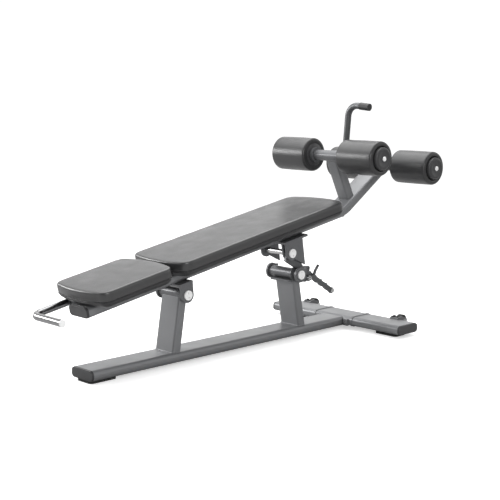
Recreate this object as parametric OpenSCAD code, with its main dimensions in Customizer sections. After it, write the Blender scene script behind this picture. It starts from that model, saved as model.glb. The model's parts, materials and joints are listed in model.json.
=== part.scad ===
// Decline sit up bench with two pairs of foam leg rollers.
// A T-shaped base carries two uprights. The padded bench turns on the front
// upright and is held up at the rear by a notched ladder on a rest pin.
// Millimetres. +X runs from the head end to the roller end, +Z is up, and the
// bench is mirrored about Y = 0 apart from its two handles and the ladder.
// The origin is on the floor under the middle of the whole bench.

/* [Base] */
// width of the flat-oval base tube
tube_w = 114; // [108:1:120]
// height of the flat-oval base tube
tube_h = 36; // [34:1:40]
// corner radius of the flat-oval base tube
tube_r = 15; // [10:1:16]
// wall thickness of the frame tubes
wall = 3; // [2:0.5:4]
// distance from the head end of the beam to the middle of the crossbar
crossbar_x = 1270; // [1200:2:1320]
// half length of the crossbar over its end caps
crossbar_half = 335; // [300:5:380]
// half length of the welded middle stub with its flange
stub_half = 96; // [92:1:110]
// height of the rubber feet
foot_h = 10; // [8:1:14]

/* [Uprights and pivots] */
// width of the uprights across the bench
upright_w = 100; // [90:1:104]
// thickness of the uprights
upright_t = 36; // [32:1:40]
// lean of the front upright towards the rollers, degrees
front_lean = 9.5; // [6:0.5:12]
// lean of the rear upright towards the head end, degrees
rear_lean = 10; // [6:0.5:11]
// distance of the front pivot from the head end of the beam
pivot_x = 395; // [380:1:410]
// height of the front pivot above the floor
pivot_z = 244; // [235:1:260]
// distance of the rear cross shaft from the head end of the beam
rear_x = 945; // [940:1:950]
// height of the rear cross shaft above the floor
rear_z = 249; // [247:1:251]

/* [Bench] */
// slope of the bench at its lowest setting, degrees
bench_deg = 10.4; // [10:0.1:10.8]
// distance along the bench from the front pivot to the ladder pivot
ladder_pivot_a = 519; // [517:1:521]
// width of the long pad
long_pad_w = 288; // [270:2:300]
// length of the long pad
long_pad_l = 842; // [820:2:850]
// width of the head pad
head_pad_w = 280; // [260:2:300]
// length of the head pad
head_pad_l = 322; // [314:2:324]
// thickness of the upholstered part of the pads
pad_t = 35; // [30:1:38]
// thickness of the moulded shell under the pads
shell_t = 22; // [20:1:22]

/* [Rollers] */
// outer diameter of the foam rollers
roller_d = 130; // [110:2:140]
// length of one foam roller
roller_l = 178; // [160:2:190]
// distance from the middle of the bench to the inner end of a roller
roller_in = 81; // [78:1:90]
// diameter of the roller axles
axle_d = 25; // [22:1:28]

/* [Ladder] */
// thickness of the notched ladder plate
ladder_t = 10; // [8:0.5:10]
// depth of the ladder notches
notch_depth = 2.5; // [2:0.1:2.5]
// number of height settings
settings = 4; // [3:1:5]
// sliding gap between ladder distance at the lowest and highest setting
ladder_travel = 105.5; // [105:0.1:106]

/* [Hidden] */
$fn = 48;
eps = 0.01;

// shared fits
fit = 0.05;        // radial running fit
clear = 0.3;       // gap between faces of pieces that move past each other

// base heights
beam_z0 = foot_h;
beam_z1 = foot_h + tube_h;
beam_mid = foot_h + tube_h/2;
end_cap_t = 8;
flange_t = 5;
flange_lip = 2.5;   // flange edge standing out round the tube
bar_mid = beam_mid + 4;  // the crossbar stands on thicker feet than the beam
bar_top = bar_mid + tube_h/2;

// pivots, in the frame that starts at the head end of the beam
barrel_r = 21;
shaft_d = 24;
ladder_shaft_d = 22;
ear_in = 62;       // inner face of the bench ears
ear_t = 8;
cap_t = 5;
cap_r = 17;

// heights in the bench frame, measured square to the bench from the pivot
rail_b0 = 45;
rail_h = 38;
rail_w = 100;
rail_a0 = -399;
rail_a1 = 850;
shell_b0 = rail_b0 + rail_h;
pad_b0 = shell_b0 + shell_t;
ladder_pivot_b = -4;
head_a0 = -400;
long_a0 = -68;

// leg roller axles, in the frame that starts at the head end of the beam
front_axle_x = 1188;
front_axle_z = 680;
rear_axle_x = 1511;
rear_axle_z = 627;
sleeve_d = 42;
roller_out = roller_in + roller_l;

// assist handle
post_x = 1263;
post_z0 = 545;
post_lean = 5;
post_top = 877;
post_d = 25;
post_bend = 45;
grip_y = -104;

// low handle, in the bench frame
low_a = -495;
low_b = 65;
low_y = 118;
low_d = 25;
low_bend = 34;
low_end = -50;

// rest pin and ladder
pin_x = 998;
pin_z = 229;
pin_r = 8;
ladder_low = -37;
pin_off = -ladder_low + pin_r - notch_depth;
bar_y0 = -ear_in + clear;
pl_x = pivot_x + ladder_pivot_a*cos(bench_deg) - ladder_pivot_b*sin(bench_deg);
pl_z = pivot_z + ladder_pivot_a*sin(bench_deg) + ladder_pivot_b*cos(bench_deg);
pin_dx = pin_x - pl_x;
pin_dz = pin_z - pl_z;
pin_dist = sqrt(pin_dx*pin_dx + pin_dz*pin_dz);
ladder_deg = atan2(pin_dz, pin_dx) + asin(pin_off/pin_dist);
first_notch = sqrt(pin_dist*pin_dist - pin_off*pin_off);
notch_pitch = ladder_travel/(settings - 1);
notch_r = 20;
tail_s = 286;
tail_v = -27;

// wheels
wheel_r = 24;
wheel_x = crossbar_x + tube_w/2 + wheel_r + 4;
wheel_z = 38;
wheel_y = 232;
wheel_w = 24;

// the origin is under the middle of the whole bench
low_x = pivot_x + low_a*cos(bench_deg) - low_b*sin(bench_deg) - low_d/2;
high_x = rear_axle_x + roller_d/2;
org_x = (low_x + high_x)/2;

// ---------- frames ----------
module base_frame() translate([-org_x, 0, 0]) children();
module bench_frame() base_frame() translate([pivot_x, 0, pivot_z])
  rotate([0, -bench_deg, 0]) children();
module ladder_frame() base_frame() translate([pl_x, 0, pl_z])
  rotate([0, -ladder_deg, 0]) children();
module mirror_y() { children(); mirror([0, 1, 0]) children(); }

// ---------- profiles ----------
module round_rect(w, h, r) {
  square([w - 2*r, h], center = true);
  square([w, h - 2*r], center = true);
  for (x = [-1, 1], y = [-1, 1]) translate([x*(w/2 - r), y*(h/2 - r)]) circle(r);
}
module ring_rect(w, h, r, t) difference() {
  round_rect(w, h, r);
  round_rect(w - 2*t, h - 2*t, r - t);
}
// extrudes a profile drawn in (Y, Z) along +X
module along_x(l) rotate([90, 0, 90]) linear_extrude(l) children();
// extrudes a profile drawn in (X, Z) along +Y from y0 to y1
module along_y(y0, y1) translate([0, y1, 0]) rotate([90, 0, 0])
  linear_extrude(y1 - y0) children();
module rod_y(d, y0, y1) along_y(y0, y1) circle(d/2);
// hexagon bolt head with its washer, standing on z = 0
module bolt_head(d) {
  cylinder(h = d*0.16, r = d*1.05);
  translate([0, 0, d*0.16]) cylinder(h = d*0.6, r = d*0.88, $fn = 6);
}
module crossbar_body() along_y(-crossbar_half, crossbar_half)
  translate([crossbar_x, bar_mid]) round_rect(tube_w, tube_h, tube_r);

// ---------- base ----------
module main_beam() color("#6d7075") base_frame() {
  difference() {
    translate([end_cap_t, 0, beam_mid]) along_x(crossbar_x - end_cap_t)
      ring_rect(tube_w, tube_h, tube_r, wall);
    crossbar_body();
  }
}
module beam_end_cap() color("#2c2d2f") base_frame() {
  translate([0, 0, beam_mid]) along_x(end_cap_t/2)
    round_rect(tube_w - 2, tube_h - 2, tube_r - 1);
  translate([end_cap_t/2, 0, beam_mid]) along_x(end_cap_t/2)
    round_rect(tube_w, tube_h, tube_r);
}
module foot_block(l, w, h) linear_extrude(h) difference() {
  round_rect(l, w, 14);
  circle(4.2);
}
module beam_foot() color("#1d1d1e") base_frame() translate([60, 0, 0])
  foot_block(108, 80, foot_h);
module flange_plate(y0) along_y(y0, y0 + flange_t) translate([crossbar_x, bar_mid])
  difference() {
    round_rect(tube_w + 2*flange_lip, tube_h + 2*flange_lip, tube_r + flange_lip);
    for (x = [-1, 1]) translate([x*24, 0]) circle(5.1);
  }
module cross_stub() color("#6d7075") base_frame() {
  along_y(-stub_half + flange_t, stub_half - flange_t) translate([crossbar_x, bar_mid])
    ring_rect(tube_w, tube_h, tube_r, wall);
  mirror_y() flange_plate(stub_half - flange_t);
  mirror_y() stub_lug();
}
// small lug with a fixing bolt on the front of the stub, beside the beam
module stub_lug() difference() {
  translate([crossbar_x - tube_w/2 - 9, stub_half - 33, beam_z0 + 5]) cube([12, 21, 26]);
  translate([0, stub_half - 34, 0]) along_y(0, 23) translate([crossbar_x, bar_mid])
    round_rect(tube_w, tube_h, tube_r);
}
module crossbar_wing() {
  difference() {
    along_y(stub_half + flange_t, crossbar_half - end_cap_t)
      translate([crossbar_x, bar_mid]) ring_rect(tube_w, tube_h, tube_r, wall);
  }
  flange_plate(stub_half);
}
module crossbar_left() color("#6d7075") base_frame() crossbar_wing();
module crossbar_right() color("#6d7075") base_frame() mirror([0, 1, 0]) crossbar_wing();
module crossbar_caps() color("#2c2d2f") base_frame() mirror_y() {
  along_y(crossbar_half - end_cap_t, crossbar_half - end_cap_t/2)
    translate([crossbar_x, bar_mid]) round_rect(tube_w, tube_h, tube_r);
  along_y(crossbar_half - end_cap_t/2, crossbar_half)
    translate([crossbar_x, bar_mid]) round_rect(tube_w - 2, tube_h - 2, tube_r - 1);
}
module crossbar_feet() color("#1d1d1e") base_frame() mirror_y()
  translate([crossbar_x, crossbar_half - 88, 0]) rotate([0, 0, 90]) foot_block(104, 64, foot_h + bar_mid - beam_mid);
module flange_bolts() color("#b9bbbd") base_frame() mirror_y() {
  for (x = [-24, 24]) {
    translate([crossbar_x + x, stub_half - flange_t, bar_mid]) rotate([90, 0, 0])
      bolt_head(9);
    rod_at(crossbar_x + x, bar_mid, 10, stub_half - flange_t, stub_half + flange_t + 9);
  }
  translate([crossbar_x - tube_w/2 - 9, stub_half - 22.5, beam_z0 + 18])
    rotate([0, -90, 0]) bolt_head(7);
}
module rod_at(x, z, d, y0, y1) translate([x, 0, z]) rod_y(d, y0, y1);

// ---------- transport wheels ----------
// cheek plate of a wheel bracket, wrapped round the far side of the crossbar
module wheel_cheek() translate([0, wheel_w/2 + 3, 0]) along_y(0, 5) difference() {
  union() {
    translate([wheel_x, wheel_z]) circle(14);
    translate([crossbar_x + tube_w/2 - 8, wheel_z - 14]) square([wheel_x - crossbar_x - tube_w/2 + 8, 28]);
    translate([crossbar_x + tube_w/2 - 10, bar_top - 1]) square([20, 9]);
    translate([crossbar_x + tube_w/2 + 8, bar_top]) circle(10);
  }
  translate([wheel_x, wheel_z]) circle(5);
}
module wheel_bracket() translate([0, wheel_y, 0]) {
  difference() {
    mirror_y() wheel_cheek();
    translate([0, -60, 0]) along_y(0, 120) translate([crossbar_x, bar_mid])
      round_rect(tube_w, tube_h, tube_r);
  }
  translate([crossbar_x + tube_w/2 - 16, -wheel_w/2 - 8, bar_top]) cube([10, wheel_w + 16, 4]);
}
module wheel_brackets() color("#7d8084") base_frame() mirror_y() wheel_bracket();
module wheel_bolts() color("#b9bbbd") base_frame() mirror_y() {
  rod_at(wheel_x, wheel_z, 10, wheel_y - wheel_w/2 - 12, wheel_y + wheel_w/2 + 8);
  translate([wheel_x, wheel_y + wheel_w/2 + 8, wheel_z]) rotate([-90, 0, 0]) bolt_head(8);
  translate([wheel_x, wheel_y - wheel_w/2 - 8, wheel_z]) rotate([90, 0, 0])
    cylinder(h = 8, r = 8, $fn = 6);
}
module wheel_hub() along_y(-wheel_w/2, wheel_w/2) difference() {
  circle(wheel_r - 8);
  circle(5 + fit);
}
module wheel_tyre() rotate([90, 0, 0]) rotate_extrude() difference() {
  translate([wheel_r - 8, -wheel_w/2]) square([8, wheel_w]);
  for (s = [-1, 1]) translate([wheel_r, s*wheel_w/2]) rotate(45) square(4.2, center = true);
}
module wheel_place(s) base_frame() translate([wheel_x, s*wheel_y, wheel_z]) children();
module wheel_left_hub() color("#4a4c4f") wheel_place(1) wheel_hub();
module wheel_left_tyre() color("#161616") wheel_place(1) wheel_tyre();
module wheel_right_hub() color("#4a4c4f") wheel_place(-1) wheel_hub();
module wheel_right_tyre() color("#161616") wheel_place(-1) wheel_tyre();

// ---------- uprights ----------
module upright_tube(lean, l) rotate([0, lean, 0]) translate([0, 0, -20])
  linear_extrude(l) ring_rect(upright_t, upright_w, 10, wall);
module front_upright() color("#6d7075") base_frame() difference() {
  translate([pivot_x - (pivot_z - beam_z1)*tan(front_lean), 0, beam_z1])
    upright_tube(front_lean, pivot_z - beam_z1 + 20);
  translate([0, -100, -60]) cube([900, 200, beam_z1 + 60]);
  rod_at(pivot_x, pivot_z, 2*barrel_r, -100, 100);
}
module front_barrel() color("#7d8084") base_frame() difference() {
  rod_at(pivot_x, pivot_z, 2*barrel_r, -ear_in + clear, ear_in - clear);
  rod_at(pivot_x, pivot_z, shaft_d + 2*fit, -ear_in - 1, ear_in + 1);
}
plate_z = rear_z - barrel_r - 7;
plate_t = 8;
plate_l = 74;
plate_x1 = rear_x + 40;   // end of the plate towards the crossbar
module rear_upright() color("#6d7075") base_frame() difference() {
  translate([rear_x + 9 + (plate_z - beam_z1)*tan(rear_lean), 0, beam_z1])
    upright_tube(-rear_lean, plate_z - beam_z1 + 60);
  translate([500, -100, -60]) cube([900, 200, beam_z1 + 60]);
  translate([500, -100, plate_z]) cube([900, 200, 200]);
}
module rear_top_plate() color("#7d8084") base_frame() difference() {
  translate([plate_x1 - plate_l/2, 0, plate_z]) linear_extrude(plate_t) round_rect(plate_l, 104, 6);
  rod_at(rear_x, rear_z, 2*barrel_r, -100, 100);
}
module rear_barrel() color("#7d8084") base_frame() difference() {
  rod_at(rear_x, rear_z, 2*barrel_r, -44, 71);
  rod_at(rear_x, rear_z, shaft_d, -45, 72);
}
module rear_shaft() color("#c3c5c7") base_frame() rod_at(rear_x, rear_z, shaft_d, -79, 79);
module rear_end_plates() color("#7d8084") base_frame()
  for (y0 = [-79, 71]) along_y(y0, y0 + ear_t) difference() {
    union() {
      translate([rear_x, rear_z]) circle(29);
      translate([rear_x - 20, rear_z - 4]) square([50, 27]);
    }
    translate([rear_x, rear_z]) circle(shaft_d/2);
  }
// aluminium cap with two spanner holes, its face towards +Y at y1
module pivot_cap(x, z, y1) translate([x, 0, z]) along_y(y1 - cap_t, y1) difference() {
  circle(cap_r);
  for (s = [-1, 1]) translate([0, s*9]) circle(2.2);
}
module rear_caps() color("#e6e7e8") base_frame() mirror_y() pivot_cap(rear_x, rear_z, 84);

// ---------- ladder rest and release lever ----------
bracket_y1 = -44;
bracket_y0 = -50;
module rack_bracket() color("#7d8084") base_frame() along_y(bracket_y0, bracket_y1)
  difference() {
    hull() {
      translate([rear_x, rear_z]) circle(27);
      translate([pin_x, pin_z]) circle(17);
      translate([pin_x + 18, pin_z + 34]) circle(9);
    }
    translate([rear_x, rear_z]) circle(shaft_d/2);
    translate([pin_x, pin_z]) circle(6);
    translate([plate_x1 - 100, plate_z - 60]) square([100 + eps, 60 + plate_t + eps]);
  }
lever_y1 = -63.5;
lever_y0 = -70;
module rest_pin() color("#c3c5c7") base_frame() {
  rod_at(pin_x, pin_z, 12, bracket_y0, bracket_y1 + 2);
  rod_at(pin_x, pin_z, 2*pin_r, lever_y1 + 0.6, bracket_y0);
  rod_at(pin_x, pin_z, 12, lever_y0 - 0.4, lever_y1 + 0.6);
  rod_at(pin_x, pin_z, 20, lever_y0 - 3.4, lever_y0 - 0.4);
  translate([pin_x, bracket_y1 + 2, pin_z]) rotate([-90, 0, 0])
    cylinder(h = 7, r = 10, $fn = 6);
}
peg_deg = 169;
peg_x = pin_x + 22*cos(peg_deg);
peg_z = pin_z + 22*sin(peg_deg);
module release_lever() color("#232425") base_frame() {
  along_y(lever_y0, lever_y1) difference() {
    union() {
      translate([pin_x, pin_z]) circle(12);
      link2d([pin_x, pin_z], [pin_x + 29, pin_z + 4], 5.5);
      link2d([pin_x + 29, pin_z + 4], [pin_x + 38, pin_z + 24], 5);
      link2d([pin_x + 38, pin_z + 24], [pin_x + 53, pin_z + 42], 4.2);
      link2d([pin_x, pin_z], [peg_x, peg_z], 6);
    }
    translate([pin_x, pin_z]) circle(6 + fit);
  }
  rod_at(peg_x, peg_z, 8, lever_y1, bracket_y0 - 0.6);
}
// straight bar with round ends between two points
module link2d(a, b, r) {
  d = b - a;
  translate(a) circle(r);
  translate(b) circle(r);
  translate(a) rotate(atan2(d[1], d[0])) translate([0, 0.05 - r]) square([norm(d), 2*r - 0.1]);
}
module lever_spring() color("#c3c5c7") base_frame() along_y(lever_y0 - 7.6, lever_y0 - 3.4)
  translate([pin_x, pin_z]) difference() {
    circle(8.5);
    circle(5);
  }

// ---------- ladder ----------
module ladder() color("#3b3d40") ladder_frame() along_y(bar_y0, bar_y0 + ladder_t)
  difference() {
    union() {
      polygon([[-14, -16], [-8, ladder_low], [tail_s - 8, ladder_low], [tail_s + 4, -34],
        [tail_s, -18], [90, -14], [34, 8], [8, 22]]);
      circle(24);
      translate([tail_s, tail_v]) circle(12);
      for (i = [0 : settings - 1])
        translate([first_notch + i*notch_pitch + 6, top_v(first_notch + i*notch_pitch) - 2])
          circle(5);
    }
    circle(ladder_shaft_d/2 + fit);
    translate([tail_s, tail_v]) circle(5);
    for (i = [0 : settings - 1])
      translate([first_notch + i*notch_pitch, -pin_off - (notch_r - pin_r) + eps])
        circle(notch_r, $fn = 96);
  }
// height of the ladder's upper edge at distance s from its pivot
function top_v(s) = -14 - 4*(s - 90)/(tail_s - 90);
module ladder_stop() color("#d5d6d8") ladder_frame() translate([tail_s, 0, tail_v]) {
  rod_y(10, bar_y0 - 2, bar_y0 + ladder_t + 2);
  rod_y(18, bar_y0 - 5, bar_y0);
  rod_y(18, bar_y0 + ladder_t, bar_y0 + ladder_t + 5);
}

// ---------- bench frame ----------
module bench_rail() color("#6d7075") bench_frame() {
  translate([rail_a0 + end_cap_t, 0, rail_b0 + rail_h/2])
    along_x(rail_a1 - rail_a0 - end_cap_t) ring_rect(rail_w, rail_h, 14, wall);
  translate([rail_a1 - wall, 0, rail_b0 + rail_h/2]) along_x(wall) round_rect(rail_w, rail_h, 14);
}
module rail_end_cap() color("#2c2d2f") bench_frame() {
  translate([rail_a0, 0, rail_b0 + rail_h/2]) along_x(end_cap_t/2)
    round_rect(rail_w - 3, rail_h - 3, 12.5);
  translate([rail_a0 + end_cap_t/2, 0, rail_b0 + rail_h/2]) along_x(end_cap_t/2)
    round_rect(rail_w, rail_h, 14);
}
// side plate that hangs the bench on a shaft at (a, b), from the rail down to the shaft
module bench_ear(a, b, left, right, low, shaft) difference() {
  union() {
    translate([a, b]) circle(27);
    polygon([[a - 27, b], [a + 10, b - 25], [a + right - 3, b + low], [a + right, rail_b0 - 8],
      [a - left, rail_b0 - 8]]);
  }
  translate([a, b]) circle(shaft/2);
}
module front_bracket() color("#7d8084") bench_frame() {
  mirror_y() along_y(ear_in, ear_in + ear_t) bench_ear(0, 0, 27, 30, 0, shaft_d);
  translate([-28, -ear_in - ear_t, rail_b0 - 8]) cube([59, 2*(ear_in + ear_t), 8]);
}
module front_shaft() color("#c3c5c7") bench_frame() rod_y(shaft_d, -ear_in - ear_t, ear_in + ear_t);
module bench_caps(a, b) mirror_y() pivot_cap(a, b, ear_in + ear_t + cap_t);
module front_caps() color("#e6e7e8") bench_frame() bench_caps(0, 0);
module rear_bracket() color("#7d8084") bench_frame() {
  mirror_y() along_y(ear_in, ear_in + ear_t)
    bench_ear(ladder_pivot_a, ladder_pivot_b, 27, 64, -62, ladder_shaft_d);
  along_y(bar_y0 + ladder_t + clear, bar_y0 + ladder_t + clear + 6)
    bench_ear(ladder_pivot_a, ladder_pivot_b, 27, 30, 0, ladder_shaft_d);
  translate([ladder_pivot_a - 31, -ear_in - ear_t, rail_b0 - 8])
    cube([124, 2*(ear_in + ear_t), 8]);
}
module ladder_shaft() color("#c3c5c7") bench_frame() translate([ladder_pivot_a, 0, ladder_pivot_b])
  rod_y(ladder_shaft_d, -ear_in - ear_t, ear_in + ear_t);
module ladder_caps() color("#e6e7e8") bench_frame() bench_caps(ladder_pivot_a, ladder_pivot_b);

// ---------- pads ----------
pad_r = 34;        // corner radius of the pads
pad_bow = 14;      // how far the short ends of the pads bow out
// outline whose short ends bow out and whose length l is taken over the bows
module pad_outline(l, w, inset) translate([l/2, 0]) {
  round_rect(l - 2*pad_bow - 2*inset, w - 2*inset, pad_r - inset);
  intersection() {
    square([l - 2*inset, w - 2*pad_r], center = true);
    translate([l/2 - inset - bow_r(w), 0]) circle(bow_r(w), $fn = 192);
    translate([bow_r(w) + inset - l/2, 0]) circle(bow_r(w), $fn = 192);
  }
}
// radius of the arc that bows out by pad_bow over the straight part of a pad's end
function bow_r(w) = (pow(w/2 - pad_r, 2) + pow(pad_bow - 0.4, 2))/(2*(pad_bow - 0.4));
module pad_shell(a0, l, w) translate([a0, 0, 0]) hull() {
  translate([0, 0, pad_b0 - 2]) linear_extrude(2) pad_outline(l, w, 1);
  translate([0, 0, shell_b0]) linear_extrude(2) pad_outline(l, w, 20);
}
module pad_top(a0, l, w) translate([a0, 0, pad_b0 + clear])
  linear_extrude(pad_t - clear) pad_outline(l, w, 0);
module head_pad() color("#3a3b3d") bench_frame() pad_top(head_a0, head_pad_l, head_pad_w);
module head_shell() color("#2c2d2f") bench_frame() pad_shell(head_a0, head_pad_l, head_pad_w);
module long_pad() color("#3a3b3d") bench_frame() pad_top(long_a0, long_pad_l, long_pad_w);
module long_shell() color("#2c2d2f") bench_frame() pad_shell(long_a0, long_pad_l, long_pad_w);

// ---------- low handle ----------
module low_handle() color("#d5d6d8") bench_frame() {
  translate([low_a + low_bend, low_y, low_b]) rotate([0, 90, 0])
    cylinder(h = 300, r = low_d/2);
  translate([low_a + low_bend, low_y - low_bend, low_b]) rotate([0, 0, 90])
    rotate_extrude(angle = 90) translate([low_bend, 0]) circle(low_d/2);
  translate([low_a, low_end, low_b]) rotate([-90, 0, 0])
    cylinder(h = low_y - low_bend - low_end, r = low_d/2);
}
module low_handle_plug() color("#e6e7e8") bench_frame() translate([low_a, low_end, low_b])
  rotate([90, 0, 0]) {
    cylinder(h = 2, r = low_d/2);
    translate([0, 0, 2]) cylinder(h = 1.5, r = low_d/2 - 1.5);
  }
module low_handle_clamps() color("#7d8084") bench_frame()
  for (a = [-350, -225]) difference() {
    translate([a, rail_w/2, low_b - 16]) cube([30, low_y - rail_w/2 + 16, shell_b0 - low_b + 16]);
    translate([a - 1, low_y, low_b]) rotate([0, 90, 0]) cylinder(h = 32, r = low_d/2);
  }

// ---------- leg rollers ----------
front_strut_a = [1294, 494];
front_strut_b = [front_axle_x + 12.6, front_axle_z + 6];
rear_strut_b = [rear_axle_x, rear_axle_z + 17];
rear_strut_h = 38;
rear_strut_w = 86;
front_strut_w = 58;
rail_end = [pivot_x + rail_a1*cos(bench_deg) - (rail_b0 + rail_h/2)*sin(bench_deg),
  pivot_z + rail_a1*sin(bench_deg) + (rail_b0 + rail_h/2)*cos(bench_deg)];
rear_strut_deg = atan2(rear_strut_b[1] - rail_end[1] - 6, rear_strut_b[0] - rail_end[0] - 34);
// shape swept along the X-Z line from a to b, with its profile in (Y, up)
module strut_line(a, b) {
  d = b - a;
  translate([a[0], 0, a[1]]) rotate([0, -atan2(d[1], d[0]), 0]) along_x(norm(d)) children();
}
module front_strut() color("#6d7075") base_frame() difference() {
  strut_line(front_strut_a, front_strut_b) ring_rect(front_strut_w, 38, 9, wall);
  rod_at(front_axle_x, front_axle_z, sleeve_d, -60, 60);
  strut_line(bend_end, rear_strut_b) square([rear_strut_w, rear_strut_h], center = true);
  assist_frame() cylinder(h = 200, r = post_d/2);
}
// the rear strut leaves the end of the rail in a bend and ends on the rear sleeve
bend_r = 110;
bend_steps = 10;
strut_dir = [cos(rear_strut_deg), sin(rear_strut_deg)];
bend_end = rail_end + bend_r*[sin(rear_strut_deg) - sin(bench_deg),
  cos(bench_deg) - cos(rear_strut_deg)];
// point of the bend at angle t, v away from its middle line
function bend_pt(t, v) = rail_end + bend_r*[sin(t) - sin(bench_deg), cos(bench_deg) - cos(t)]
  + v*[-sin(t), cos(t)];
function bend_deg(i) = bench_deg + i*(rear_strut_deg - bench_deg)/bend_steps;
function strut_top(v) = v*[-strut_dir[1], strut_dir[0]];
// side view of the strut, h thick, from back before the rail's end to short of its own end
module strut_side(h, back, short) polygon(concat(
  [bend_pt(bench_deg, -h/2) - back*[cos(bench_deg), sin(bench_deg)]],
  [for (i = [0 : bend_steps]) bend_pt(bend_deg(i), -h/2)],
  [for (v = [-h/2, h/2]) rear_strut_b - short*strut_dir + strut_top(v)],
  [for (i = [bend_steps : -1 : 0]) bend_pt(bend_deg(i), h/2)],
  [bend_pt(bench_deg, h/2) - back*[cos(bench_deg), sin(bench_deg)]]));
module rear_strut() color("#6d7075") base_frame() difference() {
  along_y(-rear_strut_w/2, rear_strut_w/2) strut_side(rear_strut_h, 0.01, 0);
  along_y(wall - rear_strut_w/2, rear_strut_w/2 - wall) strut_side(rear_strut_h - 2*wall, 5, 26);
  rod_at(rear_axle_x, rear_axle_z, sleeve_d, -60, 60);
}
module axle(x, z) translate([x, 0, z]) {
  rod_y(axle_d, -roller_out - 10, roller_out + 10);
}
module axle_sleeve(x, z) difference() {
  union() {
    rod_at(x, z, sleeve_d, -roller_in + 13, roller_in - 13);
    for (y0 = [-roller_in + 0.6, roller_in - 12]) rod_at(x, z, 58, y0, y0 + 11.4);
  }
  rod_at(x, z, axle_d, -roller_in, roller_in);
}
module front_axle() color("#7d8084") base_frame() {
  axle_sleeve(front_axle_x, front_axle_z);
  axle(front_axle_x, front_axle_z);
}
module rear_axle() color("#7d8084") base_frame() {
  axle_sleeve(rear_axle_x, rear_axle_z);
  axle(rear_axle_x, rear_axle_z);
}
module axle_end_cap() {
  difference() {
    rod_y(84, roller_out + 0.6, roller_out + 12);
    rod_y(axle_d, roller_out, roller_out + 10);
  }
  translate([0, roller_out + 12, 0]) rotate([-90, 0, 0]) {
    cylinder(h = 1.5, r = 38);
    cylinder(h = 4, r = 8);
  }
}
module axle_end_caps() color("#3b3d40") base_frame() mirror_y() {
  translate([front_axle_x, 0, front_axle_z]) axle_end_cap();
  translate([rear_axle_x, 0, rear_axle_z]) axle_end_cap();
}
core_r = axle_d/2 + 5;
module roller_foam() along_y(roller_in + 4, roller_out - 4) difference() {
  circle(roller_d/2);
  circle(core_r);
}
// plastic core tube with a thin flange at each end
module roller_core() {
  along_y(roller_in, roller_out) difference() {
    circle(core_r);
    circle(axle_d/2 + fit);
  }
  for (y = [roller_in, roller_out - 4]) along_y(y, y + 4) difference() {
    circle(roller_d/2 - 9);
    circle(core_r);
  }
}
module at_front(s) base_frame() translate([front_axle_x, 0, front_axle_z])
  mirror([0, s < 0 ? 1 : 0, 0]) children();
module at_rear(s) base_frame() translate([rear_axle_x, 0, rear_axle_z])
  mirror([0, s < 0 ? 1 : 0, 0]) children();
module roller_front_left() color("#2b2c2d") at_front(1) roller_foam();
module roller_front_right() color("#2b2c2d") at_front(-1) roller_foam();
module roller_rear_left() color("#2b2c2d") at_rear(1) roller_foam();
module roller_rear_right() color("#2b2c2d") at_rear(-1) roller_foam();
module roller_cores_front_left() color("#3b3d40") at_front(1) roller_core();
module roller_cores_front_right() color("#3b3d40") at_front(-1) roller_core();
module roller_cores_rear_left() color("#3b3d40") at_rear(1) roller_core();
module roller_cores_rear_right() color("#3b3d40") at_rear(-1) roller_core();

// ---------- assist handle ----------
// frame at the foot of the assist handle, its Z up the leaning post
module assist_frame() translate([post_x, 0, post_z0]) rotate([post_lean, 0, 0]) children();
post_l = post_top - post_z0;
grip_y0 = -58;
module assist_post() color("#3b3d40") base_frame() assist_frame() {
  cylinder(h = post_l - post_bend, r = post_d/2);
  translate([0, -post_bend, post_l - post_bend]) rotate([90, 0, 90])
    rotate_extrude(angle = 90) translate([post_bend, 0]) circle(post_d/2);
  rod_at(0, post_l, post_d, grip_y0, -post_bend);
  rod_at(0, post_l, post_d - 5, grip_y + 4, grip_y0);
}
module assist_grip() color("#1d1d1e") base_frame() assist_frame() difference() {
  rod_at(0, post_l, post_d + 3, grip_y, grip_y0);
  rod_at(0, post_l, post_d - 5, grip_y + 4, grip_y0 + 1);
}

main_beam();
beam_end_cap();
beam_foot();
cross_stub();
crossbar_left();
crossbar_right();
crossbar_caps();
crossbar_feet();
flange_bolts();
wheel_brackets();
wheel_bolts();
wheel_left_hub();
wheel_left_tyre();
wheel_right_hub();
wheel_right_tyre();
front_upright();
front_barrel();
rear_upright();
rear_top_plate();
rear_barrel();
rear_shaft();
rear_end_plates();
rear_caps();
rack_bracket();
rest_pin();
release_lever();
lever_spring();
ladder();
ladder_stop();
bench_rail();
rail_end_cap();
front_bracket();
front_shaft();
front_caps();
rear_bracket();
ladder_shaft();
ladder_caps();
head_pad();
head_shell();
long_pad();
long_shell();
low_handle();
low_handle_clamps();
low_handle_plug();
front_strut();
rear_strut();
front_axle();
rear_axle();
axle_end_caps();
assist_post();
assist_grip();
roller_front_left();
roller_front_right();
roller_rear_left();
roller_rear_right();
roller_cores_front_left();
roller_cores_front_right();
roller_cores_rear_left();
roller_cores_rear_right();
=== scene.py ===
"""Looks of the decline sit up bench: pads, rollers, small fittings, materials, light and camera."""
import json
import math

import bmesh
import bpy
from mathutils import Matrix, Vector, noise


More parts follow.
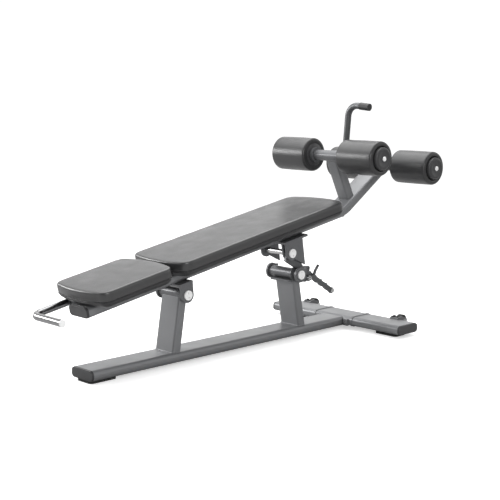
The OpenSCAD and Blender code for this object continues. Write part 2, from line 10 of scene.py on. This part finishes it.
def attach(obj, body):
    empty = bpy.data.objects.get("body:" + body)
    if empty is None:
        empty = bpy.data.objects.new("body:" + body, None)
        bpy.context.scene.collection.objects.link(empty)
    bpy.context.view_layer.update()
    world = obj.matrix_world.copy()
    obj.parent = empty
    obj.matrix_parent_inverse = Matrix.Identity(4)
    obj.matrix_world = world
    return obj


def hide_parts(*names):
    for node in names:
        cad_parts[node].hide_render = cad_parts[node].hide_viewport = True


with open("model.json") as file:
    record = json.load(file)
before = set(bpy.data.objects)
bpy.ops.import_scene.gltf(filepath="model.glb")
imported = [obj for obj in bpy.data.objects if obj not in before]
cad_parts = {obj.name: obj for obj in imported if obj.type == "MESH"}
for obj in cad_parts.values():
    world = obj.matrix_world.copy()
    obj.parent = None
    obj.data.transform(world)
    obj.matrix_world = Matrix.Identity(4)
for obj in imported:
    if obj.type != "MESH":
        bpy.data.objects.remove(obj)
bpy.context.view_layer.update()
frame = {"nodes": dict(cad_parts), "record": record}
NODES = frame["nodes"]
MM = 0.001

# ---------------------------------------------------------------- places, in the CAD frame
ORIGIN_X = 729.949          # mm from the head end of the beam to the origin
PIVOT = Vector(((395 - ORIGIN_X) * MM, 0, 0.244))
BENCH = math.radians(10.4)
FRONT_AXLE = Vector(((1188 - ORIGIN_X) * MM, 0, 0.680))
REAR_AXLE = Vector(((1511 - ORIGIN_X) * MM, 0, 0.627))


def on_bench(a, y, b):
    """Point of the bench frame (mm along the slope, across, square to it) in the CAD frame."""
    c, s = math.cos(BENCH), math.sin(BENCH)
    return Vector((PIVOT.x + (a * c - b * s) * MM, y * MM, PIVOT.z + (a * s + b * c) * MM))


# ---------------------------------------------------------------- materials
def shade(name, colour, rough, metal=0.0, vary=0.06, rough_vary=0.05, vary_scale=3.0):
    """Principled material whose colour and roughness drift softly over the object."""
    m = bpy.data.materials.new(name)
    m.use_nodes = True
    nt = m.node_tree
    p = nt.nodes["Principled BSDF"]
    co = nt.nodes.new("ShaderNodeTexCoord")
    drift = nt.nodes.new("ShaderNodeTexNoise")
    drift.inputs["Scale"].default_value = vary_scale
    drift.inputs["Detail"].default_value = 4
    nt.links.new(co.outputs["Object"], drift.inputs["Vector"])
    ramp = nt.nodes.new("ShaderNodeValToRGB")
    for e, k, at in ((ramp.color_ramp.elements[0], 1 - vary, 0.3),
                     (ramp.color_ramp.elements[1], 1 + vary, 0.7)):
        e.position = at
        e.color = (*(min(1, c * k) for c in colour), 1)
    nt.links.new(drift.outputs["Fac"], ramp.inputs["Fac"])
    nt.links.new(ramp.outputs["Color"], p.inputs["Base Color"])
    smudge = nt.nodes.new("ShaderNodeTexNoise")
    smudge.inputs["Scale"].default_value = 16
    smudge.inputs["Detail"].default_value = 5
    nt.links.new(co.outputs["Object"], smudge.inputs["Vector"])
    span = nt.nodes.new("ShaderNodeMapRange")
    span.inputs["From Min"].default_value = 0.3
    span.inputs["From Max"].default_value = 0.7
    span.inputs["To Min"].default_value = rough - rough_vary
    span.inputs["To Max"].default_value = rough + rough_vary
    nt.links.new(smudge.outputs["Fac"], span.inputs["Value"])
    nt.links.new(span.outputs["Result"], p.inputs["Roughness"])
    p.inputs["Metallic"].default_value = metal
    return m, nt, p, co


def grain(nt, p, co, scale, depth, strength=1.0, stretch=(1, 1, 1), edge=0.0, cells=False):
    """Fine bump, over a slightly rounded edge where edge is the radius in metres."""
    place = nt.nodes.new("ShaderNodeMapping")
    place.inputs["Scale"].default_value = stretch
    nt.links.new(co.outputs["Object"], place.inputs["Vector"])
    if cells:
        tex = nt.nodes.new("ShaderNodeTexVoronoi")
        tex.feature = "SMOOTH_F1"
        tex.inputs["Scale"].default_value = scale
        height = tex.outputs["Distance"]
    else:
        tex = nt.nodes.new("ShaderNodeTexNoise")
        tex.inputs["Scale"].default_value = scale
        tex.inputs["Detail"].default_value = 3
        height = tex.outputs["Fac"]
    nt.links.new(place.outputs["Vector"], tex.inputs["Vector"])
    bump = nt.nodes.new("ShaderNodeBump")
    bump.inputs["Strength"].default_value = strength
    bump.inputs["Distance"].default_value = depth
    nt.links.new(height, bump.inputs["Height"])
    if edge:
        soft = nt.nodes.new("ShaderNodeBevel")
        soft.samples = 4
        soft.inputs["Radius"].default_value = edge
        nt.links.new(soft.outputs["Normal"], bump.inputs["Normal"])
    nt.links.new(bump.outputs["Normal"], p.inputs["Normal"])


def paint(name, colour, rough, metal, edge=0.0016):
    m, nt, p, co = shade(name, colour, rough, metal, vary=0.05)
    grain(nt, p, co, 420, 0.00012, 0.6, edge=edge)
    return m


FRAME = paint("frame_paint", (0.21, 0.213, 0.22), 0.37, 0.4)
BRACKET = paint("bracket_paint", (0.13, 0.132, 0.138), 0.38, 0.3, 0.0012)
DARK = paint("dark_paint", (0.095, 0.098, 0.102), 0.34, 0.35, 0.0012)

LEATHER, nt, p, co = shade("upholstery", (0.022, 0.022, 0.023), 0.34, 0, 0.10, 0.05, 5)
p.inputs["Specular IOR Level"].default_value = 0.9
grain(nt, p, co, 620, 0.00022, 0.7, cells=True)
WELT, nt, p, co = shade("welt", (0.018, 0.018, 0.019), 0.46, 0, 0.08)
grain(nt, p, co, 700, 0.0002, 0.6, cells=True)
SHELL, nt, p, co = shade("shell_plastic", (0.022, 0.022, 0.023), 0.42, 0, 0.08)
grain(nt, p, co, 900, 0.00012, 0.6)
PLASTIC, nt, p, co = shade("dark_plastic", (0.040, 0.040, 0.042), 0.38, 0, 0.08)
grain(nt, p, co, 800, 0.00010, 0.6, edge=0.0012)
FOAM, nt, p, co = shade("foam", (0.028, 0.028, 0.029), 0.34, 0, 0.12, 0.05, 9)
p.inputs["Specular IOR Level"].default_value = 0.6
grain(nt, p, co, 1100, 0.00022, 0.8)
RUBBER, nt, p, co = shade("rubber", (0.016, 0.016, 0.016), 0.62, 0, 0.12, 0.08)
grain(nt, p, co, 500, 0.0002, 0.7, edge=0.0015)
GRIP, nt, p, co = shade("grip_rubber", (0.022, 0.022, 0.023), 0.5, 0, 0.1, 0.06)
grain(nt, p, co, 650, 0.0003, 0.8, cells=True)
TYRE, nt, p, co = shade("tyre_rubber", (0.012, 0.012, 0.012), 0.6, 0, 0.12, 0.08)
grain(nt, p, co, 450, 0.0003, 0.7, edge=0.001)
STEEL, nt, p, co = shade("bright_steel", (0.5, 0.5, 0.5), 0.26, 0.9, 0.05, 0.06)
grain(nt, p, co, 900, 0.00005, 0.4, stretch=(1, 0.08, 1), edge=0.0006)
CAP, nt, p, co = shade("aluminium_cap", (0.95, 0.95, 0.95), 0.32, 0.0, 0.03, 0.05)
grain(nt, p, co, 700, 0.00004, 0.3, stretch=(1, 0.1, 1), edge=0.0010)
CHROME, nt, p, co = shade("chrome", (0.26, 0.26, 0.265), 0.22, 1, 0.03, 0.03)
grain(nt, p, co, 60, 0.00003, 0.2)

SLOTS = {"frame_paint": FRAME, "bracket_paint": BRACKET, "dark_paint": DARK, "upholstery": LEATHER,
         "shell_plastic": SHELL, "dark_plastic": PLASTIC, "foam": FOAM, "rubber": RUBBER,
         "grip_rubber": GRIP, "tyre_rubber": TYRE, "bright_steel": STEEL, "aluminium_cap": CAP,
         "chrome": CHROME}
for part in frame["record"]["subparts"]:
    o = NODES[part["node"]]
    o.data.materials.clear()
    o.data.materials.append(SLOTS[part["material_slot"]])


# ---------------------------------------------------------------- mesh helpers
def make(name, verts, faces, material, slot, smooth=True):
    me = bpy.data.meshes.new(name)
    me.from_pydata([tuple(v) for v in verts], [], faces)
    bm = bmesh.new()
    bm.from_mesh(me)
    bmesh.ops.remove_doubles(bm, verts=bm.verts, dist=1e-6)
    bmesh.ops.recalc_face_normals(bm, faces=bm.faces)
    bm.to_mesh(me)
    bm.free()
    me.materials.append(material)
    if smooth:
        me.shade_smooth()
    o = bpy.data.objects.new(name, me)
    bpy.context.scene.collection.objects.link(o)
    return o


def loft(rings, closed_ends=True):
    """Faces between rings of equal length; the ends are closed."""
    n = len(rings[0])
    verts = [v for r in rings for v in r]
    faces = [(i * n + j, i * n + (j + 1) % n, (i + 1) * n + (j + 1) % n, (i + 1) * n + j)
             for i in range(len(rings) - 1) for j in range(n)]
    if closed_ends:
        faces.append(tuple(range(n))[::-1])
        faces.append(tuple((len(rings) - 1) * n + j for j in range(n)))
    return verts, faces


def turned(name, centre, profile, material, slot, side=1, steps=96):
    """Solid of revolution about the Y line through centre; profile is (y, radius) in mm."""
    rings = []
    for y, r in profile:
        rings.append([Vector((centre.x + r * MM * math.cos(t), side * y * MM,
                              centre.z + r * MM * math.sin(t)))
                      for t in (2 * math.pi * k / steps for k in range(steps))])
    return make(name, *loft(rings), material, slot)


def tube(name, path, radius, material, slot, closed=True, sides=10, wobble=0.0):
    """Round bead along a path of points, with a little unevenness if wobble is set."""
    rings, n = [], len(path)
    for i, q in enumerate(path):
        a, b = path[(i - 1) % n] if closed or i else q, path[(i + 1) % n] if closed or i < n - 1 else q
        d = (b - a).normalized()
        u = d.orthogonal().normalized() if abs(d.z) > 0.9 else d.cross(Vector((0, 0, 1))).normalized()
        v = d.cross(u)
        r = radius * (1 + wobble * noise.noise(q * 260))
        rings.append([q + r * (math.cos(t) * u + math.sin(t) * v)
                      for t in (2 * math.pi * k / sides for k in range(sides))])
    if closed:
        rings.append(rings[0])
    verts, faces = loft(rings, closed_ends=not closed)
    return make(name, verts, faces, material, slot)


# ---------------------------------------------------------------- pads
PAD_R, PAD_BOW = 34.0, 14.0


def pad_outline(l, w, count=300):
    """Outline points and outward normals: straight sides, bowed short ends, round corners."""
    h, e, r = w / 2, l / 2 - PAD_BOW, PAD_R
    big = ((h - r) ** 2 + (PAD_BOW - 0.4) ** 2) / (2 * (PAD_BOW - 0.4))
    pts = []
    for end in (1, -1):
        for k in range(9):
            t = math.pi / 2 * k / 8 - math.pi / 2
            pts.append((end * (e - r + r * math.cos(t)), end * (-(h - r) + r * math.sin(t))))
        top = math.asin((h - r) / big)
        for k in range(1, 16):
            t = -top + 2 * top * k / 16
            pts.append((end * (l / 2 - big + big * math.cos(t)), end * big * math.sin(t)))
        for k in range(9):
            t = math.pi / 2 * k / 8
            pts.append((end * (e - r + r * math.cos(t)), end * ((h - r) + r * math.sin(t))))
    # start at the middle of a short end, so that point k and point -k mirror each other
    pts = pts[16:] + pts[:16]
    loop = pts + [pts[0]]
    lens = [math.dist(loop[i], loop[i + 1]) for i in range(len(pts))]
    total, out, i, run = sum(lens), [], 0, 0.0
    for k in range(count):
        s = total * k / count
        while run + lens[i] < s:
            run += lens[i]
            i += 1
        f = (s - run) / lens[i] if lens[i] else 0
        out.append((loop[i][0] + f * (loop[i + 1][0] - loop[i][0]),
                    loop[i][1] + f * (loop[i + 1][1] - loop[i][1])))
    # soften the joins between arcs and lines
    for _ in range(3):
        out = [tuple((out[k - 1][c] + 2 * out[k][c] + out[(k + 1) % count][c]) / 4 for c in (0, 1))
               for k in range(count)]
    normals = []
    for k in range(count):
        dx = out[(k + 1) % count][0] - out[k - 1][0]
        dy = out[(k + 1) % count][1] - out[k - 1][1]
        n = math.hypot(dx, dy)
        normals.append((dy / n, -dx / n))
    return out, normals


def corner_share(x, y, l, w):
    """1 at the corners of the pad, 0 along its sides."""
    cx = max(0.0, abs(x) - (l / 2 - PAD_R - 22)) / (PAD_R + 22)
    cy = max(0.0, abs(y) - (w / 2 - PAD_R - 22)) / (PAD_R + 22)
    return min(1.0, cx) * min(1.0, cy)


def pad_rings(a0, l, w, profile, crown=0.0, pleats=0.0, wave=0.0):
    """Rings of a pad. profile is (inset, height, share of pleats); crown rises to the middle."""
    out, nor = pad_outline(l, w)
    rings = []
    for d, b, pl in profile:
        ring = []
        for k, ((x, y), (nx, ny)) in enumerate(zip(out, nor)):
            c = corner_share(x, y, l, w)
            # the long sides pull in a little between the corners
            pull = 1.4 * (1 - (2 * x / l) ** 2) * abs(ny) if d < 20 else 0.0
            fold = pleats * pl * c * math.sin(k * 2.1) if pleats else 0.0
            px, py = x - nx * (d + pull + fold), y - ny * (d + pull + fold)
            ring.append(Vector((px, py, b + (swell(px, py, l, w, crown, wave) if b > 125 else 0))))
        rings.append(ring)
    return rings


def swell(x, y, l, w, crown, wave):
    """How far the padded face stands up at a point: a crown, with slight unevenness."""
    return (crown * (1 - (2 * y / w) ** 2) * (1 - (2 * x / l) ** 4)
            + wave * noise.noise(Vector((x, y, 0)) * 0.02))


def pad_solid(rings, a0, l, w, crown=0.0, wave=0.0, across=24):
    """Closed mesh of a pad: rings up its side, and rows of quads across both faces."""
    n = len(rings[0])
    verts, faces = loft(rings, closed_ends=False)
    for ring, base in ((rings[0], 0), (rings[-1], (len(rings) - 1) * n)):
        top = base > 0
        rows = [[base]]
        for k in range(1, n // 2):
            p, q, row = ring[k], ring[n - k], [base + k]
            for j in range(1, across):
                v = p.lerp(q, j / across)
                if top and crown:
                    v.z = 140.0 + swell(v.x, v.y, l, w, crown, wave)
                row.append(len(verts))
                verts.append(v)
            rows.append(row + [base + n - k])
        rows.append([base + n // 2])
        for a, b in zip(rows, rows[1:]):
            for j in range(across):
                f = [a[min(j, len(a) - 1)], a[min(j + 1, len(a) - 1)], b[min(j + 1, len(b) - 1)],
                     b[min(j, len(b) - 1)]]
                faces.append(tuple(dict.fromkeys(f)))
    return [on_bench(a0 + l / 2 + v.x, v.y, v.z) for v in verts], faces


def pad(name, a0, l, w, body="bench"):
    cushion = [(20, 105.4, 0), (6, 105.5, 0), (2.4, 105.9, .3),
               (1.0, 107.0, 1), (0.5, 109.0, 1), (0.1, 112.5, .9), (-0.4, 117.0, .7),
               (-0.6, 122.0, .4), (-0.5, 127.0, .2), (-0.3, 131.0, 0), (0.3, 134.0, 0),
               (1.2, 136.2, 0), (2.6, 138.0, 0), (4.6, 139.2, 0), (7.4, 139.8, 0), (12, 140.0, 0),
               (20, 140.0, 0)]
    o = make(name + "_cushion", *pad_solid(pad_rings(a0, l, w, cushion, 2.6, 0.4, 0.5), a0, l, w,
                                           2.6, 0.5), LEATHER, "upholstery")
    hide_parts(name)
    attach(o, body)
    under = [(27, 83.2, 0), (22.5, 83.5, 0), (18.5, 84.6, 0),
             (14, 86.9, 0), (9.5, 90.2, 0), (5.6, 94.2, 0), (2.9, 98.2, 0), (1.5, 101.6, 0),
             (1.1, 104.0, 0), (1.9, 104.9, 0), (5, 105.2, 0), (20, 105.2, 0)]
    s = make(name.replace("pad", "shell") + "_moulded",
             *pad_solid(pad_rings(a0, l, w, under), a0, l, w), SHELL, "shell_plastic")
    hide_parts(name.replace("pad", "shell"))
    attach(s, body)
    line = [on_bench(a0 + l / 2 + v.x, v.y, v.z)
            for v in pad_rings(a0, l, w, [(0.6, 105.4, 0)])[0]]
    t = tube(name + "_welt", line, 1.5 * MM, WELT, "upholstery", sides=8)
    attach(t, body)


pad("head_pad", -400, 322, 280)
pad("long_pad", -68, 842, 288)

# ---------------------------------------------------------------- rollers and their axle caps
IN, OUT, R = 81.0, 259.0, 65.0
# inner end face, rounded shoulder, slightly barrelled body, rounded shoulder, outer face, groove
foam = [(IN + 8, 18.5), (IN + 8, 34), (IN + 2.4, 36), (IN + 1.8, 40), (IN + 1.6, 54)]
foam += [(IN + 1.6 + 9 * (1 - math.cos(t)), R - 9 + 9 * math.sin(t))
         for t in (math.pi / 2 * k / 7 for k in range(8))]
foam += [(IN + 30, R + 0.25), (IN + 60, R + 0.5), ((IN + OUT) / 2, R + 0.6), (OUT - 60, R + 0.5),
         (OUT - 30, R + 0.25)]
foam += [(OUT - 1.6 - 9 * (1 - math.sin(t)), R - 9 + 9 * math.cos(t))
         for t in (math.pi / 2 * k / 7 for k in range(8))]
foam += [(OUT - 1.6, 52), (OUT - 2.0, 48.4), (OUT - 4, 47.2), (OUT - 9, 46.8), (OUT - 10, 45),
         (OUT - 10, 18.5)]
end_cap = [(OUT - 9.5, 13), (OUT - 9.5, 44), (OUT - 2, 44.2), (OUT + 2, 43.6)]
end_cap += [(OUT + 2 + 9 * math.sin(t), 34.6 + 9 * math.cos(t))
            for t in (math.pi / 2 * k / 7 for k in range(1, 8))]
end_cap += [(OUT + 11.2, 30), (OUT + 10.6, 28.6), (OUT + 10.6, 14), (OUT + 10.6, 3)]
stud = [(OUT + 9, 1), (OUT + 9, 9.2), (OUT + 12.6, 9.2), (OUT + 13.2, 8.4), (OUT + 13.4, 7.6),
        (OUT + 14.8, 6.6), (OUT + 15.8, 4.2), (OUT + 16.2, 1)]
for row, axle in (("front", FRONT_AXLE), ("rear", REAR_AXLE)):
    for hand, side in (("left", 1), ("right", -1)):
        body = f"roller_{row}_{hand}"
        f = turned(body + "_foam", axle, foam, FOAM, "foam", side, 128)
        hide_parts(body)
        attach(f, body)
        c = turned(f"{row}_{hand}_axle_cap", axle, end_cap, PLASTIC, "dark_plastic", side)
        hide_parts("axle_end_caps")
        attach(c, "bench")
        s = turned(f"{row}_{hand}_axle_stud", axle, stud, CAP, "aluminium_cap", side, 48)
        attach(s, "bench")
        # inner flange of the roller's core, seen between the foam and the collar
        g = turned(f"{body}_flange", axle, [(IN + 0.2, 13.2), (IN + 0.2, 43), (IN + 1.0, 44),
                                            (IN + 7, 44), (IN + 7, 13.2)], PLASTIC, "dark_plastic", side)
        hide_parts(f"roller_cores_{row}_{hand}")
        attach(g, body)

# ---------------------------------------------------------------- rear strut, bent from the rail
def ring_at(x, z, turn, w, h, r, per=6):
    """Rounded rectangle across Y and up, standing square to a direction turned up by turn."""
    out = []
    for cx, cy, t0 in ((1, 1, 0), (-1, 1, 1), (-1, -1, 2), (1, -1, 3)):
        for k in range(per + 1):
            t = (t0 + k / per) * math.pi / 2
            y, v = cx * (w / 2 - r) + r * math.cos(t), cy * (h / 2 - r) + r * math.sin(t)
            out.append(Vector(((x - v * math.sin(turn)) * MM, y * MM, (z + v * math.cos(turn)) * MM)))
    return out


end = on_bench(850, 0, 64)
ex, ez = end.x / MM, end.z / MM
tx, tz = REAR_AXLE.x / MM, REAR_AXLE.z / MM + 17
turn = math.atan2(tz - ez - 6, tx - ex - 34)
rings = [ring_at(ex, ez, BENCH, 86, 38, 11)]
for k in range(1, 17):
    t = BENCH + (turn - BENCH) * k / 16
    rings.append(ring_at(ex + 110 * (math.sin(t) - math.sin(BENCH)),
                         ez + 110 * (math.cos(BENCH) - math.cos(t)), t, 86, 38, 11))
for f in (0.25, 0.5, 0.75, 1.0):
    bx, bz = ex + 110 * (math.sin(turn) - math.sin(BENCH)), ez + 110 * (math.cos(BENCH) - math.cos(turn))
    rings.append(ring_at(bx + (tx - bx) * f, bz + (tz - bz) * f, turn, 86, 38, 11))
strut = make("rear_strut_bent", *loft(rings), FRAME, "frame_paint")
strut.data.set_sharp_from_angle(angle=math.radians(40))
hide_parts("rear_strut")
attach(strut, "bench")
seam = ring_at(ex, ez, BENCH, 96, 37, 13)
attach(tube("rail_end_weld", seam, 2.2 * MM, FRAME, "frame_paint", wobble=0.35), "bench")


# ---------------------------------------------------------------- weld beads
def box_path(cx, z, w, d, r, lean=0.0, per=6):
    """Closed path round a leaning rectangular tube where it stands on a flat face."""
    out = []
    for sx, sy, t0 in ((1, 1, 0), (-1, 1, 1), (-1, -1, 2), (1, -1, 3)):
        for k in range(per + 1):
            t = (t0 + k / per) * math.pi / 2
            out.append(Vector((cx + (sx * (d / 2 - r) + r * math.cos(t)) / math.cos(lean) * MM,
                               (sy * (w / 2 - r) + r * math.sin(t)) * MM, z)))
    fine = []
    for i, q in enumerate(out):
        nxt = out[(i + 1) % len(out)]
        steps = max(1, int((nxt - q).length / 0.004))
        fine += [q.lerp(nxt, s / steps) for s in range(steps)]
    return fine


lean_f, lean_r = math.radians(9.5), math.radians(10)
foot_f = (395 - ORIGIN_X - (244 - 46) * math.tan(lean_f)) * MM
foot_r = (945 + 9 - ORIGIN_X + (221 - 46) * math.tan(lean_r)) * MM
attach(tube("front_upright_weld", box_path(foot_f, 0.0462, 100, 36, 10, lean_f), 2.3 * MM, FRAME,
             "frame_paint", wobble=0.4), "base_frame")
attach(tube("rear_upright_weld", box_path(foot_r, 0.0462, 100, 36, 10, lean_r), 2.3 * MM, FRAME,
             "frame_paint", wobble=0.4), "base_frame")

# ---------------------------------------------------------------- floor, light, camera
floor = bpy.data.meshes.new("studio_floor")
floor.from_pydata([(-60, -60, 0), (60, -60, 0), (60, 60, 0), (-60, 60, 0)], [], [(0, 1, 2, 3)])
floor = bpy.data.objects.new("studio_floor", floor)
bpy.context.scene.collection.objects.link(floor)
m = bpy.data.materials.new("studio_floor")
m.use_nodes = True
p = m.node_tree.nodes["Principled BSDF"]
p.inputs["Base Color"].default_value = (0.86, 0.86, 0.86, 1)
p.inputs["Roughness"].default_value = 0.9
p.inputs["Specular IOR Level"].default_value = 0.1
p.inputs["Emission Color"].default_value = (1, 1, 1, 1)
p.inputs["Emission Strength"].default_value = 0.5
seen = m.node_tree.nodes.new("ShaderNodeLightPath")
mix = m.node_tree.nodes.new("ShaderNodeMixShader")
dull = m.node_tree.nodes.new("ShaderNodeBsdfDiffuse")
dull.inputs["Color"].default_value = (0.50, 0.50, 0.50, 1)
m.node_tree.links.new(seen.outputs["Is Camera Ray"], mix.inputs["Fac"])
m.node_tree.links.new(dull.outputs["BSDF"], mix.inputs[1])
m.node_tree.links.new(p.outputs["BSDF"], mix.inputs[2])
m.node_tree.links.new(mix.outputs["Shader"], m.node_tree.nodes["Material Output"].inputs["Surface"])
floor.data.materials.append(m)

AZ, EL = math.radians(-43.95), math.radians(8.62)
back = Vector((math.sin(AZ) * math.cos(EL), -math.cos(AZ) * math.cos(EL), math.sin(EL)))

world = bpy.data.worlds.new("studio")
bpy.context.scene.world = world
world.use_nodes = True
nt = world.node_tree
bg = nt.nodes["Background"]
co = nt.nodes.new("ShaderNodeTexCoord")
dot = nt.nodes.new("ShaderNodeVectorMath")
dot.operation = "DOT_PRODUCT"
dot.inputs[1].default_value = Vector((back.x, back.y, -0.35)).normalized()
nt.links.new(co.outputs["Generated"], dot.inputs[0])
ramp = nt.nodes.new("ShaderNodeValToRGB")
ramp.color_ramp.interpolation = "EASE"
ramp.color_ramp.elements[0].position = 0.05
ramp.color_ramp.elements[0].color = (1.04, 1.04, 1.04, 1)
ramp.color_ramp.elements[1].position = 0.75
ramp.color_ramp.elements[1].color = (0.16, 0.16, 0.16, 1)
nt.links.new(dot.outputs["Value"], ramp.inputs["Fac"])
# the sky dims with height, so that steep faces stay darker than level ones
height = nt.nodes.new("ShaderNodeSeparateXYZ")
nt.links.new(co.outputs["Generated"], height.inputs[0])
dim = nt.nodes.new("ShaderNodeMapRange")
for key, value in (("From Min", 0.22), ("From Max", 0.65), ("To Min", 1.0), ("To Max", 0.65)):
    dim.inputs[key].default_value = value
nt.links.new(height.outputs["Z"], dim.inputs["Value"])
nt.links.new(dim.outputs["Result"], bg.inputs["Strength"])
nt.links.new(ramp.outputs["Color"], bg.inputs["Color"])


def softbox(name, at, to, size, power):
    d = bpy.data.lights.new(name, "AREA")
    d.shape, d.size, d.size_y, d.energy = "RECTANGLE", size[0], size[1], power
    o = bpy.data.objects.new(name, d)
    o.location = at
    o.rotation_mode = "QUATERNION"
    o.rotation_quaternion = (Vector(to) - Vector(at)).to_track_quat("-Z", "Y")
    bpy.context.scene.collection.objects.link(o)


softbox("overhead", (0.2, 0.6, 2.6), (0.1, 0, 0.2), (3.4, 2.6), 80)
softbox("far_glow", (2.6, 3.2, 1.7), (0.1, 0, 0.35), (4.0, 1.8), 10)

softbox("front_fill", (-2.2, -3.6, 1.8), (0, 0, 0.3), (1.6, 1.2), 60)
softbox("side_strip", (-1.7, 2.4, 1.25), (0.5, 0, 0.66), (1.8, 0.5), 48)

cam = bpy.data.cameras.new("photo_view")
cam.lens, cam.sensor_width = 79.65, 36
cam.clip_start, cam.clip_end = 0.05, 400
eye = bpy.data.objects.new("photo_view", cam)
eye.location = (-2.75183, -2.88170, 0.96136)
eye.rotation_mode = "QUATERNION"
eye.rotation_quaternion = (-back).to_track_quat("-Z", "Y")
bpy.context.scene.collection.objects.link(eye)
bpy.context.scene.camera = eye
bpy.context.scene.view_settings.view_transform = "Standard"
